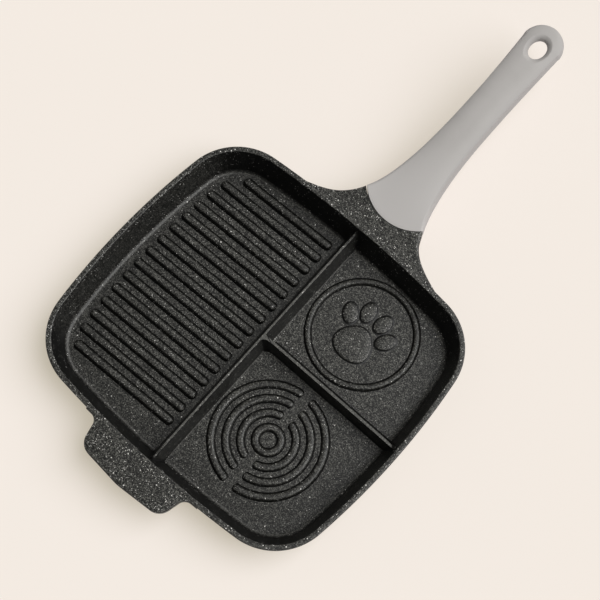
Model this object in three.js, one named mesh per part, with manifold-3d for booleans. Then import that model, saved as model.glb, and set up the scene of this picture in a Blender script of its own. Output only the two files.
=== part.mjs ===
// Divided frying pan: a coated casting with a grill section, a motif section and a ring section,
// and a two-shell grip that is screwed to the casting's tang.
// Millimetres, +Z up, +Y towards the grip, +X towards the two small sections.
// The origin is on the flat underside, at the middle of the pan.
import * as THREE from "three";
import { mergeVertices } from "three/addons/utils/BufferGeometryUtils.js";
import Module from "manifold-3d";

const wasm = await Module();
wasm.setup();

// Pan outline: four bowed sides joined by corner arcs
const panWidth = 250;
const panLength = 224.8;
const panHeight = 25;
const sideBow = 12;
const endBow = 9.5;
const cornerRadius = 45;

// Walls, lip and floor
const floorThickness = 4.5;
const wallThickness = 3.6;
const wallRun = 7.5;
const lipWidth = 3.8;
const lipHeight = 4;
const lipRound = 0.9;
const lipUnderRound = 1.2;
const floorFillet = 4;
const baseRound = 6;

// Dividers, drafted from foot to crest
const dividerX = 0.5;
const dividerTurn = 0.9; // degrees
const dividerFoot = 9.4;
const dividerCrest = 2.4;
const dividerDrop = 5;
const crossDividerY = 8.2;
const crossDividerFoot = 6.2;
const crossDividerCrest = 2.6;
const crossDividerDrop = 5.8;
const footFlare = 1.8;
const footFlareHeight = 1.6;

// Grill ribs
const ribPitch = 12.05;
const ribWidth = 5.6;
const ribHeight = 3;
const ribRowCentreY = 4;
const ribWallGap = 6.7;
const ribDividerGap = 4;
const ribEndMargin = 9.2;

// Ridge section of ribs and rings: shares of the half width and of the height, from the foot up
const ridgeSection = [[0.86, 0.68], [0.56, 0.94], [0.22, 1]];

// Split rings and the motif ring, seated beside the dividers
const ringWidth = 4.6;
const ringHeight = 1.6;
const ringCount = 4;
const innerRingRadius = 8.9;
const ringPitch = 10.2;
const ringSplit = 6.4;
const motifRingRadius = 38.4;
const motifRingWidth = 3.8;
const ringDividerGap = 3;
const ringCrossGap = 5.8;

// Paw motif inside the motif ring
const pawHeight = 1.3;
const pawPadWidth = 33;
const pawPadLength = 26;
const pawPadDrop = 9;
const pawPinch = 0.35;
const pawSection = [[0.94, 0.7], [0.84, 0.95], [0.7, 1]];
const toeWidth = 10.5;
const toeLength = 15;
const toeReach = 18.5;
const toeSpreads = [-62, -21, 21, 62];
const toeTilt = 0.55;
const toeRowLift = 6.5;

// Helper tab on the edge opposite the grip
const tabOffset = -3;
const tabRootWidth = 81.8;
const tabTipWidth = 72.5;
const tabReach = 20;
const tabBow = 3;
const tabThickness = 5.5;
const tabCornerRadius = 11;
const tabRootRadius = 7;
const tabTipRadius = 40;
const tabEdgeRound = 1.2;

// Neck and tang of the casting
const handleOffset = 8;
const handleRise = THREE.MathUtils.degToRad(7);
const neckBend = 5.8;
const neckBendLength = 7;
const neckReach = 18.6;
const neckThickness = 16;
const neckTopRound = 2.4;
const neckBottomRound = 4;
const neckRootSpread = 8;
const neckRootLength = 3;
const tangWidth = 22;
const tangThickness = 5;
const tangLength = 62;
const tangEndRadius = 6;

// Grip
const jointWidth = 56;
const jointBulge = 10;
const gripLength = 176.4;
const gripWaist = 27.6;
const gripTailSwell = 3.6;
const flareLength = 26.5;
const gripTailThickness = 8;
const gripBelly = 6;
const gripRoundness = 2.5;
const tipThinning = 0.35;
const partingDepth = 9;
const shellWall = 3;
const hangHoleSetback = 20.2;
const hangHoleWidth = 12;
const hangHoleLength = 16;
const hangHoleFlare = 3;
const hangHoleFlareCurve = 4;
const hangHoleSurround = 8;

// Fasteners
const screwRadius = 2;
const screwHeadRadius = 4;
const screwHeadHeight = 2.4;
const screwHeadFace = 2.8;
const screwHeadEdge = 1.2;
const washerThickness = 0.8;
const insertRadius = 3.1;
const insertLength = 4;
const bossRadius = 6.8;
const headWellRadius = 4.7;
const headSink = 0.5;
const frontScrewAt = 22;
const rearScrewAt = 52;
const tailScrewAt = 100;

// Clearance between pieces that meet, and how far joined forms sink into each other
const clearance = 0.3;
const sink = 0.8;

// Facets per round stretch, rows per loft, and the length of a facet along a ring
const cornerSteps = 6;
const sideSteps = 3;
const filletSteps = 3;
const endSteps = 4;
const roundSteps = 24;
const neckRows = 12;
const neckRowCrowding = 1.5;
const gripRows = 16;
const tipSteps = 6;
const tipSweep = 0.47 * Math.PI;
const holeSteps = 4;
const ringFacet = 7;

// Sizes that follow from the ones above
const halfWidth = panWidth / 2;
const halfLength = panLength / 2;
const cookDepth = panHeight - floorThickness;
const floorInset = lipWidth + wallRun;
const sideRadius = bowRadius(halfLength, sideBow);
const endRadius = bowRadius(halfWidth, endBow);
const sideCentre = new THREE.Vector2(halfWidth - sideRadius, 0);
const endCentre = new THREE.Vector2(0, halfLength - endRadius);
const cornerCentre = findCornerCentre();
const cornerStart = cornerCentre.clone().sub(sideCentre).angle();
const cornerEnd = cornerCentre.clone().sub(endCentre).angle();
const jointApex = neckReach - jointBulge;
const jointRadius = ((jointWidth / 2) ** 2 + jointBulge ** 2) / (2 * jointBulge);
const jointCentre = jointApex + jointRadius;
const gripTip = neckReach + gripLength;
const hangHoleAt = gripTip - hangHoleSetback;
const wellAbove = neckThickness;
const wellBelow = -2 * neckThickness;
const tangTop = -partingDepth + tangThickness / 2;
const tangBottom = -partingDepth - tangThickness / 2;
const handleFrame = new THREE.Matrix4()
  .makeRotationX(handleRise)
  .setPosition(handleOffset, halfLength + neckBend, panHeight);

// Materials
const coating = { color: 0x37373a, roughness: 0.55, metalness: 0.2 };
const softGrip = { color: 0xb0adaa, roughness: 0.75, metalness: 0 };
const steel = { color: 0xb9bbbd, roughness: 0.35, metalness: 1 };
const brass = { color: 0xb89a55, roughness: 0.4, metalness: 1 };

function bowRadius(halfChord, bow) {
  return (halfChord ** 2 + bow ** 2) / (2 * bow);
}

// The corner arc touches the side arc and the end arc from inside.
function findCornerCentre() {
  const fromSide = sideRadius - cornerRadius;
  const fromEnd = endRadius - cornerRadius;
  const between = endCentre.clone().sub(sideCentre);
  const distance = between.length();
  const along = (fromSide ** 2 - fromEnd ** 2 + distance ** 2) / (2 * distance);
  const across = Math.sqrt(fromSide ** 2 - along ** 2);
  const direction = between.normalize();
  return sideCentre.clone()
    .addScaledVector(direction, along)
    .add(new THREE.Vector2(-direction.y, direction.x).multiplyScalar(across));
}

function arcPoints(centre, radius, from, to, steps) {
  const points = [];
  for (let i = 0; i <= steps; i++) {
    const angle = from + ((to - from) * i) / steps;
    const out = new THREE.Vector2(Math.cos(angle), Math.sin(angle));
    points.push(out.multiplyScalar(radius).add(centre));
  }
  return points;
}

// The pan's outline, moved in by inset, anticlockwise from the middle of the +X side.
function panOutline(inset) {
  const quarter = [
    ...arcPoints(sideCentre, sideRadius - inset, 0, cornerStart, sideSteps),
    ...arcPoints(cornerCentre, cornerRadius - inset, cornerStart, cornerEnd, cornerSteps).slice(1),
    ...arcPoints(endCentre, endRadius - inset, cornerEnd, Math.PI / 2, sideSteps).slice(1),
  ];
  const back = quarter.slice(0, -1).reverse().map((p) => new THREE.Vector2(-p.x, p.y));
  const half = [...quarter, ...back];
  const front = half.slice(1, -1).reverse().map((p) => new THREE.Vector2(p.x, -p.y));
  return [...half, ...front];
}

// Half the width of the pan's outline at y, moved in by inset, or null where the outline has ended.
function outlineReach(y, inset) {
  const pastCorner = Math.abs(y) - cornerCentre.y;
  if (pastCorner <= 0) {
    return sideCentre.x + Math.sqrt((sideRadius - inset) ** 2 - y ** 2);
  }
  const square = (cornerRadius - inset) ** 2 - pastCorner ** 2;
  return square > 0 ? cornerCentre.x + Math.sqrt(square) : null;
}

// A line through corner points [x, y, radius], with each corner rounded as far as its sides allow.
function roundCorners(points, closed = false) {
  const count = points.length;
  const at = (i) => new THREE.Vector2(...points[(i + count) % count].slice(0, 2));
  const path = [];
  points.forEach(([, , radius = 0], i) => {
    const corner = at(i);
    const isEnd = !closed && (i === 0 || i === count - 1);
    if (isEnd || radius === 0) {
      path.push(corner);
      return;
    }
    const before = at(i - 1).sub(corner);
    const after = at(i + 1).sub(corner);
    const room = Math.min(before.length(), after.length()) / 2;
    before.normalize();
    after.normalize();
    const halfAngle = Math.acos(THREE.MathUtils.clamp(before.dot(after), -1, 1)) / 2;
    const fitted = Math.min(radius, room * Math.tan(halfAngle));
    const reach = fitted / Math.tan(halfAngle);
    const inward = before.clone().add(after).normalize();
    const centre = inward.multiplyScalar(fitted / Math.sin(halfAngle)).add(corner);
    const start = before.clone().multiplyScalar(reach).add(corner).sub(centre).angle();
    const end = after.clone().multiplyScalar(reach).add(corner).sub(centre).angle();
    const sweep = THREE.MathUtils.euclideanModulo(end - start + Math.PI, 2 * Math.PI) - Math.PI;
    path.push(...arcPoints(centre, fitted, start, start + sweep, filletSteps));
  });
  return path;
}

// A closed skin over rings of points, all of one even count. The two ends are closed across the ring.
function loft(rings) {
  const count = rings[0].length;
  const last = (rings.length - 1) * count;
  const index = [];
  for (let ring = 0; ring < last; ring += count) {
    for (let i = 0; i < count; i++) {
      const a = ring + i;
      const b = ring + ((i + 1) % count);
      index.push(a, b, b + count, a, b + count, a + count);
    }
  }
  for (let i = 0; i < count / 2 - 1; i++) {
    const [a, b, c, d] = [i, i + 1, count - 2 - i, count - 1 - i];
    index.push(a, c, b, a, d, c);
    index.push(last + a, last + b, last + c, last + a, last + c, last + d);
  }
  const geometry = new THREE.BufferGeometry();
  const positions = rings.flat().flatMap((point) => point.toArray());
  geometry.setAttribute("position", new THREE.Float32BufferAttribute(positions, 3));
  geometry.setIndex(index);
  return geometry;
}

function atHeight(outline, z) {
  return outline.map((p) => new THREE.Vector3(p.x, p.y, z));
}

function toSolid(geometry) {
  const plain = new THREE.BufferGeometry();
  plain.setAttribute("position", geometry.getAttribute("position"));
  plain.setIndex(geometry.getIndex());
  const merged = mergeVertices(plain);
  return new wasm.Manifold(new wasm.Mesh({
    numProp: 3,
    vertProperties: new Float32Array(merged.getAttribute("position").array),
    triVerts: new Uint32Array(merged.getIndex().array),
  }));
}

function toGeometry(solid) {
  const mesh = solid.getMesh();
  const geometry = new THREE.BufferGeometry();
  geometry.setAttribute("position", new THREE.BufferAttribute(new Float32Array(mesh.vertProperties), 3));
  geometry.setIndex(new THREE.BufferAttribute(new Uint32Array(mesh.triVerts), 1));
  geometry.computeVertexNormals();
  return geometry;
}

function join(solids) {
  return solids.reduce((joined, next) => joined.add(next));
}

function block(low, high) {
  const size = high.clone().sub(low);
  const middle = low.clone().add(high).multiplyScalar(0.5);
  return toSolid(new THREE.BoxGeometry(...size.toArray()).translate(...middle.toArray()));
}

// A round post along Z
function post(radius, x, y, low, high) {
  const geometry = new THREE.CylinderGeometry(radius, radius, high - low, roundSteps);
  return toSolid(geometry.rotateX(Math.PI / 2).translate(x, y, (low + high) / 2));
}

function makeMesh(name, geometry, look) {
  const mesh = new THREE.Mesh(geometry, new THREE.MeshStandardMaterial(look));
  mesh.name = name;
  return mesh;
}

// Pan shell

function loftOutlines(profile) {
  return toSolid(loft(profile.map((p) => atHeight(panOutline(p.x), p.y))));
}

function innerInset(z) {
  return lipWidth + (wallRun * (panHeight - z)) / cookDepth;
}

function outerPan() {
  const outerInset = (z) => innerInset(z) - wallThickness;
  const lipUnder = panHeight - lipHeight;
  return loftOutlines(roundCorners([
    [outerInset(0) + baseRound, 0],
    [outerInset(0), 0, baseRound],
    [outerInset(lipUnder), lipUnder, lipUnderRound],
    [0, lipUnder + lipUnderRound, lipRound],
    [0, panHeight, lipRound],
    [lipWidth / 2, panHeight],
  ]));
}

// Everything that is open above the floor and inside the walls
function cavity() {
  const lipEdge = lipWidth - lipRound;
  return loftOutlines(roundCorners([
    [floorInset + floorFillet, floorThickness],
    [floorInset, floorThickness, floorFillet],
    [lipWidth, panHeight, lipRound],
    [lipEdge, panHeight],
    [lipEdge, panHeight + neckThickness],
  ]));
}

// Dividers

function dividerSection(foot, crest, drop) {
  const top = panHeight - drop;
  const half = [
    [foot / 2 + footFlare, floorThickness - sink],
    [foot / 2 + footFlare, floorThickness],
    [foot / 2, floorThickness + footFlareHeight],
    [crest / 2, top, crest / 2],
  ];
  const mirrored = [...half].reverse().map(([x, y, radius]) => [-x, y, radius]);
  return new THREE.Shape(roundCorners([...half, ...mirrored], true));
}

function dividers() {
  const mainSection = dividerSection(dividerFoot, dividerCrest, dividerDrop);
  const main = new THREE.ExtrudeGeometry(mainSection, { depth: panLength, bevelEnabled: false });
  main.rotateX(Math.PI / 2).translate(0, halfLength, 0);
  main.rotateZ(THREE.MathUtils.degToRad(dividerTurn)).translate(dividerX, 0, 0);
  const crossSection = dividerSection(crossDividerFoot, crossDividerCrest, crossDividerDrop);
  const cross = new THREE.ExtrudeGeometry(crossSection, { depth: halfWidth - dividerX, bevelEnabled: false });
  cross.rotateX(Math.PI / 2).rotateZ(Math.PI / 2).translate(dividerX, crossDividerY, 0);
  return join([toSolid(main), toSolid(cross)]);
}

// Ribs and rings share one rounded ridge section: half widths and heights from the floor up.

function ridgeSteps(width, height) {
  const half = width / 2;
  const rise = ridgeSection.map(([wide, high]) => ({ half: half * wide, z: floorThickness + height * high }));
  return [{ half, z: floorThickness - sink }, ...rise];
}

// The outline of a round-ended strip along a centre line of places and directions
function stripOutline(line, half) {
  const side = (station, along, across) => station.at.clone()
    .addScaledVector(station.dir, along)
    .add(new THREE.Vector2(station.dir.y, -station.dir.x).multiplyScalar(across));
  const roundEnd = (station, sign) => Array.from({ length: endSteps }, (_, i) => {
    const angle = (Math.PI * (i + 0.5)) / endSteps;
    return side(station, sign * half * Math.sin(angle), sign * half * Math.cos(angle));
  });
  const start = roundEnd(line[0], -1);
  const finish = roundEnd(line[line.length - 1], 1);
  return [
    ...start.slice(endSteps / 2),
    ...line.map((station) => side(station, 0, half)),
    ...finish,
    ...[...line].reverse().map((station) => side(station, 0, -half)),
    ...start.slice(0, endSteps / 2),
  ];
}

function ridge(line, width, height) {
  const steps = ridgeSteps(width, height);
  return toSolid(loft(steps.map(({ half, z }) => atHeight(stripOutline(line, half), z))));
}

function ringRidge(x, y, radius, width, height) {
  const steps = ridgeSteps(width, height);
  const outside = steps.map(({ half, z }) => new THREE.Vector2(radius + half, z));
  const inside = [...steps].reverse().map(({ half, z }) => new THREE.Vector2(radius - half, z));
  const profile = [...outside, ...inside];
  const facets = Math.max(roundSteps, Math.round((2 * Math.PI * radius) / ringFacet));
  const geometry = new THREE.LatheGeometry([...profile, profile[0]], facets);
  return toSolid(geometry.rotateX(Math.PI / 2).translate(x, y, 0));
}

function grillRibs() {
  const ribs = [];
  const rightEnd = dividerX - dividerFoot / 2 - ribDividerGap - ribWidth / 2;
  const lean = Math.tan(THREE.MathUtils.degToRad(dividerTurn));
  const addRib = (y) => {
    const reach = outlineReach(y, floorInset + ribWallGap);
    if (reach === null || Math.abs(y) + ribEndMargin > halfLength - floorInset) {
      return false;
    }
    const line = [-reach + ribWidth / 2, rightEnd - lean * y].map((x) => ({
      at: new THREE.Vector2(x, y),
      dir: new THREE.Vector2(1, 0),
    }));
    ribs.push(ridge(line, ribWidth, ribHeight));
    return true;
  };
  addRib(ribRowCentreY);
  for (const way of [1, -1]) {
    let row = 1;
    while (addRib(ribRowCentreY + way * row * ribPitch)) {
      row += 1;
    }
  }
  return join(ribs);
}

function splitRings() {
  const outerRadius = innerRingRadius + (ringCount - 1) * ringPitch + ringWidth / 2;
  const x = dividerX + dividerFoot / 2 + ringDividerGap + outerRadius;
  const y = crossDividerY - crossDividerFoot / 2 - ringCrossGap - outerRadius;
  const rings = [ringRidge(x, y, innerRingRadius, ringWidth, ringHeight)];
  for (let i = 1; i < ringCount; i++) {
    const radius = innerRingRadius + i * ringPitch;
    const cut = (ringSplit + ringWidth) / 2 / radius;
    const steps = Math.round((Math.PI * radius) / ringFacet);
    for (const middle of [0, Math.PI]) {
      const line = Array.from({ length: steps + 1 }, (_, k) => {
        const angle = middle + (Math.PI / 2 - cut) * ((2 * k) / steps - 1);
        const out = new THREE.Vector2(Math.cos(angle), Math.sin(angle));
        return {
          at: new THREE.Vector2(x, y).addScaledVector(out, radius),
          dir: new THREE.Vector2(-out.y, out.x),
        };
      });
      rings.push(ridge(line, ringWidth, ringHeight));
    }
  }
  return join(rings);
}

// A low oval cushion, turned by tilt; pinch draws in the side that faces the toes.
function pawPad(x, y, width, length, tilt, pinch) {
  const outline = (scale) => Array.from({ length: roundSteps }, (_, i) => {
    const angle = (2 * Math.PI * i) / roundSteps;
    const draw = 1 - pinch * (0.5 + 0.5 * Math.sin(angle));
    return new THREE.Vector2(draw * Math.cos(angle) * width, Math.sin(angle) * length)
      .multiplyScalar(scale / 2)
      .rotateAround(new THREE.Vector2(), tilt)
      .add(new THREE.Vector2(x, y));
  });
  const rise = pawSection.map(([scale, high]) => atHeight(outline(scale), floorThickness + pawHeight * high));
  return toSolid(loft([atHeight(outline(1), floorThickness - sink), ...rise]));
}

function pawMotif() {
  const ringOutside = motifRingRadius + motifRingWidth / 2;
  const x = dividerX + dividerFoot / 2 + ringDividerGap + ringOutside;
  const y = crossDividerY + crossDividerFoot / 2 + ringCrossGap + ringOutside;
  const toeRow = y - pawPadDrop + toeRowLift;
  const toes = toeSpreads.map((spread) => {
    const turn = THREE.MathUtils.degToRad(-spread);
    const out = new THREE.Vector2(0, toeReach).rotateAround(new THREE.Vector2(), turn);
    return pawPad(x + out.x, toeRow + out.y, toeWidth, toeLength, turn * toeTilt, 0);
  });
  return join([
    ringRidge(x, y, motifRingRadius, motifRingWidth, ringHeight),
    pawPad(x, y - pawPadDrop, pawPadWidth, pawPadLength, 0, pawPinch),
    ...toes,
  ]);
}

// Helper tab

function helperTab() {
  const rootY = -halfLength;
  const tipY = rootY - tabReach - tabBow;
  const cornerY = rootY - tabReach;
  const insideY = rootY + floorInset;
  const half = [
    [tabRootWidth / 2 + tabRootRadius, insideY],
    [tabRootWidth / 2 + tabRootRadius, rootY + lipRound],
    [tabRootWidth / 2, rootY + lipRound / 2, tabRootRadius],
    [tabTipWidth / 2, cornerY, tabCornerRadius],
  ];
  const mirrored = [...half].reverse().map(([x, y, radius]) => [-x, y, radius]);
  const corners = [...half, [0, tipY, tabTipRadius], ...mirrored];
  const outline = corners.map(([x, y, radius]) => [x + tabOffset, y, radius]);
  const geometry = new THREE.ExtrudeGeometry(new THREE.Shape(roundCorners(outline, true)), {
    depth: tabThickness - 2 * tabEdgeRound,
    bevelThickness: tabEdgeRound,
    bevelSize: tabEdgeRound,
    bevelOffset: -tabEdgeRound,
    bevelSegments: 2,
  });
  return toSolid(geometry.translate(0, 0, panHeight - tabThickness + tabEdgeRound));
}

// Neck, tang and grip share one flare, given at a distance u along the handle from the neck's bend.

function handleHalfWidth(u) {
  const share = Math.max(0, (u - neckReach) / gripLength);
  const flare = ((jointWidth - gripWaist) / 2) * Math.exp((neckReach - u) / flareLength);
  return gripWaist / 2 + flare + (gripTailSwell / 2) * share ** 2;
}

function gripThickness(u) {
  const share = THREE.MathUtils.clamp((u - neckReach) / gripLength, 0, 1);
  const taper = THREE.MathUtils.lerp(neckThickness, gripTailThickness, share);
  return taper + gripBelly * 4 * share * (1 - share);
}

// The parting plane splits the grip's thickness everywhere as it does at the joint.
function gripTop(thickness) {
  return (thickness / neckThickness - 1) * partingDepth;
}

// The neck leaves the pan level with the lip and bends up to the handle's rise.
function neckTop(y) {
  const past = y - halfLength - neckBend;
  const slope = Math.tan(handleRise);
  if (past <= -neckBendLength) {
    return panHeight;
  }
  if (past >= neckBendLength) {
    return panHeight + past * slope;
  }
  return panHeight + (slope * (past + neckBendLength) ** 2) / (4 * neckBendLength);
}

function neck() {
  const start = halfLength - lipWidth / 2;
  const end = halfLength + neckBend + neckReach + neckTopRound;
  const stations = [halfLength - floorInset];
  for (let i = 0; i <= neckRows; i++) {
    stations.push(start + (end - start) * (i / neckRows) ** neckRowCrowding);
  }
  const sideAt = (y) => {
    const u = (Math.max(y, start) - halfLength - neckBend) / Math.cos(handleRise);
    const root = neckRootSpread * Math.exp((halfLength - Math.max(y, start)) / neckRootLength);
    return handleHalfWidth(u) + root;
  };
  const edge = (inset, heightAt) => {
    const side = (sign) => stations.map((y) =>
      new THREE.Vector3(handleOffset + sign * (sideAt(y) - inset), y, heightAt(y)));
    return [...side(1), ...side(-1).reverse()];
  };
  const rings = [];
  const quarter = Math.PI / 2;
  for (let i = 0; i <= filletSteps; i++) {
    const angle = (quarter * i) / filletSteps;
    rings.push(edge(neckBottomRound * (1 - Math.sin(angle)),
      (y) => neckTop(y) - neckThickness + neckBottomRound * (1 - Math.cos(angle))));
  }
  for (let i = 0; i <= filletSteps; i++) {
    const angle = (quarter * i) / filletSteps;
    rings.push(edge(neckTopRound * (1 - Math.cos(angle)),
      (y) => neckTop(y) - neckTopRound * (1 - Math.sin(angle))));
  }
  const jointCut = post(jointRadius + clearance, 0, jointCentre, wellBelow, wellAbove);
  return toSolid(loft(rings)).subtract(jointCut.transform(handleFrame.elements));
}

// The tang's plan, grown by room on every side
function tangPlate(room) {
  const side = tangWidth / 2 + room;
  const front = jointApex - neckBendLength - room;
  const back = neckReach + tangLength + room;
  const outline = roundCorners([
    [side, front],
    [side, back, tangEndRadius + room],
    [-side, back, tangEndRadius + room],
    [-side, front],
  ], true);
  const depth = tangThickness + 2 * room;
  const plate = new THREE.ExtrudeGeometry(new THREE.Shape(outline), { depth, bevelEnabled: false });
  return toSolid(plate.translate(0, 0, -partingDepth - depth / 2));
}

function tang() {
  const holes = [frontScrewAt, rearScrewAt].map((at) =>
    post(screwRadius + clearance, 0, neckReach + at, tangBottom - clearance, tangTop + clearance));
  return tangPlate(0).subtract(join(holes)).transform(handleFrame.elements);
}

function panBody() {
  const outside = outerPan();
  const shell = join([outside, neck(), helperTab()]).subtract(cavity());
  const inside = join([dividers().intersect(outside), grillRibs(), splitRings(), pawMotif()]);
  return join([shell, tang(), inside]);
}

// Grip

// A section that is a rounded box at the joint and an oval at the waist, as points for one loft ring
function gripRing(u, halfWide, thickness, wall = 0) {
  const halfHigh = thickness / 2 - wall;
  const middle = gripTop(thickness) - thickness / 2;
  const boxy = Math.min(1, Math.exp((neckReach - u) / flareLength));
  const box = roundCorners([
    [halfWide, -halfHigh, neckBottomRound],
    [-halfWide, -halfHigh, neckBottomRound],
    [-halfWide, halfHigh, neckTopRound],
    [halfWide, halfHigh, neckTopRound],
  ], true);
  return box.map((p) => {
    const reach = Math.abs(p.x / halfWide) ** gripRoundness + Math.abs(p.y / halfHigh) ** gripRoundness;
    const scale = THREE.MathUtils.lerp(reach ** (-1 / gripRoundness), 1, boxy);
    return new THREE.Vector3(p.x * scale, u, middle + p.y * scale);
  });
}

// The whole grip, or its hollow when wall is the shell's thickness
function gripForm(wall, from, to) {
  const rings = [];
  for (let i = 0; i <= gripRows; i++) {
    const u = from + ((to - from) * i) / gripRows;
    rings.push(gripRing(u, handleHalfWidth(u) - wall, gripThickness(u), wall));
  }
  return rings;
}

// A block over the grip's whole width, from u to past the tip
function gripSlab(u, low, high) {
  return block(new THREE.Vector3(-jointWidth, u, low), new THREE.Vector3(jointWidth, gripTip + sink, high));
}

function gripBlank() {
  const tipRadius = handleHalfWidth(gripTip);
  const tipCentre = gripTip - tipRadius;
  const rings = gripForm(0, jointApex - clearance, tipCentre);
  for (let i = 1; i <= tipSteps; i++) {
    const angle = (tipSweep * i) / tipSteps;
    const u = tipCentre + tipRadius * Math.sin(angle);
    const thin = Math.cos(angle) ** tipThinning;
    rings.push(gripRing(u, tipRadius * Math.cos(angle), gripThickness(u) * thin));
  }
  const behindJoint = post(jointRadius, 0, jointCentre, wellBelow, wellAbove)
    .add(gripSlab(jointCentre, wellBelow, wellAbove));
  return toSolid(loft(rings)).intersect(behindJoint).subtract(hangHole());
}

// An oval hole whose edges flare out to both faces
function hangHole() {
  const depth = gripThickness(hangHoleAt);
  const middle = gripTop(depth) - depth / 2;
  const rings = [];
  for (let i = 0; i <= holeSteps; i++) {
    const share = (2 * i) / holeSteps - 1;
    const grow = hangHoleFlare * Math.abs(share) ** hangHoleFlareCurve;
    const z = middle + share * (depth / 2 + clearance);
    const outline = Array.from({ length: roundSteps }, (_, k) => {
      const angle = (2 * Math.PI * k) / roundSteps;
      return new THREE.Vector2(
        (hangHoleWidth / 2 + grow) * Math.cos(angle),
        hangHoleAt + (hangHoleLength / 2 + grow) * Math.sin(angle));
    });
    rings.push(atHeight(outline, z));
  }
  return toSolid(loft(rings));
}

const screwPlaces = [
  { name: "tang_screw_front", spot: "front", at: neckReach + frontScrewAt, gap: tangThickness },
  { name: "tang_screw_rear", spot: "rear", at: neckReach + rearScrewAt, gap: tangThickness },
  { name: "tail_screw", spot: "tail", at: neckReach + tailScrewAt, gap: 0 },
];

function seatHeight(place) {
  const thickness = gripThickness(place.at);
  const underside = gripTop(thickness) - thickness;
  return underside + headSink + screwHeadHeight + washerThickness + 2 * clearance;
}

function insertFoot(place) {
  return -partingDepth + place.gap / 2 + 2 * clearance;
}

// The room inside the grip, apart from the screw bosses
function gripHollow() {
  const from = neckReach + shellWall;
  const to = hangHoleAt - hangHoleLength / 2 - hangHoleSurround;
  const bosses = screwPlaces.map((place) => post(bossRadius, 0, place.at, wellBelow, wellAbove));
  return toSolid(loft(gripForm(shellWall, from, to))).subtract(join(bosses)).add(tangPlate(clearance));
}

function gripShells() {
  const above = gripSlab(0, -partingDepth + clearance / 2, wellAbove);
  const below = gripSlab(0, wellBelow, -partingDepth - clearance / 2);
  const blank = gripBlank().subtract(gripHollow());
  const insertHoles = screwPlaces.map((place) =>
    post(insertRadius + clearance, 0, place.at, -partingDepth, insertFoot(place) + insertLength + clearance));
  const screwHoles = screwPlaces.flatMap((place) => [
    post(screwRadius + clearance, 0, place.at, wellBelow, -partingDepth),
    post(headWellRadius, 0, place.at, wellBelow, seatHeight(place)),
  ]);
  return {
    upper: blank.intersect(above).subtract(join(insertHoles)),
    lower: blank.intersect(below).subtract(join(screwHoles)),
  };
}

// Fasteners, each revolved about its own axis and stood at its place along the handle

function revolve(profile, at) {
  const points = profile.map(([radius, z]) => new THREE.Vector2(radius, z));
  return new THREE.LatheGeometry(points, roundSteps / 2).rotateX(Math.PI / 2).translate(0, at, 0);
}

function screw(place) {
  const headTop = seatHeight(place) - washerThickness - 2 * clearance;
  const headLow = headTop - screwHeadHeight;
  const tip = insertFoot(place) + insertLength - clearance;
  return revolve([
    [0, headLow],
    [screwHeadFace, headLow],
    [screwHeadRadius, headLow + screwHeadEdge],
    [screwHeadRadius, headTop],
    [screwRadius, headTop],
    [screwRadius, tip - screwRadius / 2],
    [screwRadius / 2, tip],
    [0, tip],
  ], place.at);
}

function tube(inside, outside, low, high, at) {
  return revolve([[inside, low], [outside, low], [outside, high], [inside, high], [inside, low]], at);
}

function lockWasher(place) {
  const top = seatHeight(place) - clearance;
  return tube(screwRadius + clearance, screwHeadRadius, top - washerThickness, top, place.at);
}

function threadedInsert(place) {
  const foot = insertFoot(place);
  return tube(screwRadius + clearance, insertRadius, foot, foot + insertLength, place.at);
}

function makeGrip() {
  const grip = new THREE.Group();
  grip.applyMatrix4(handleFrame);
  const shells = gripShells();
  grip.add(makeMesh("grip_upper_shell", toGeometry(shells.upper), softGrip));
  grip.add(makeMesh("grip_lower_shell", toGeometry(shells.lower), softGrip));
  for (const place of screwPlaces) {
    grip.add(makeMesh(place.name, screw(place), steel));
    grip.add(makeMesh(`${place.spot}_lock_washer`, lockWasher(place), steel));
    grip.add(makeMesh(`${place.spot}_insert`, threadedInsert(place), brass));
  }
  return grip;
}

const pan = new THREE.Group();
pan.add(makeMesh("pan_body", toGeometry(panBody()), coating));
pan.add(makeGrip());

export default pan;
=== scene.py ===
# Divided frying pan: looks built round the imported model, in the same frame, in metres.
# Sizes in the dictionaries are millimetres; each mesh is scaled once, as it is made.
from functools import partialmethod
from math import acos, atan2, cos, exp, pi, radians, sin, sqrt, tan

import bmesh
import bpy
import numpy as np
from mathutils import Matrix, Vector


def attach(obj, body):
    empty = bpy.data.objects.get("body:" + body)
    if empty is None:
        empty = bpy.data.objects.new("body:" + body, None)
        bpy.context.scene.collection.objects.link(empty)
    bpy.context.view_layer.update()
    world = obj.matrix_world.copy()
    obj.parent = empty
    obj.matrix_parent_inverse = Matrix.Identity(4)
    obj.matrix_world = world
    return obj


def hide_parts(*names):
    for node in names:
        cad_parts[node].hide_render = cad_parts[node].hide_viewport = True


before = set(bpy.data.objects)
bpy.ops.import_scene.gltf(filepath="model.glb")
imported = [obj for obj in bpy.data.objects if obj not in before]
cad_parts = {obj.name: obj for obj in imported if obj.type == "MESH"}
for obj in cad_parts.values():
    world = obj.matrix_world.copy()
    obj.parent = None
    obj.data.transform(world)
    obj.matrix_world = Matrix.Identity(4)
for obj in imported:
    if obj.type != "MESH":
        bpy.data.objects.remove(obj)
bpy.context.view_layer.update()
scene = bpy.context.scene
mm = 0.001
weldDistance = 0.0005 * mm

# camera, at the photograph's viewing angle
viewpoint = {
    "azimuth": 38.372, "elevation": 73.841, "roll": 3.542,
    "distance": 1071.25, "target": (3.117, 42.17, 25.0),
    "lens": 92.962, "sensor": 36.0, "clip": (10.0, 50000.0),
}


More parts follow.
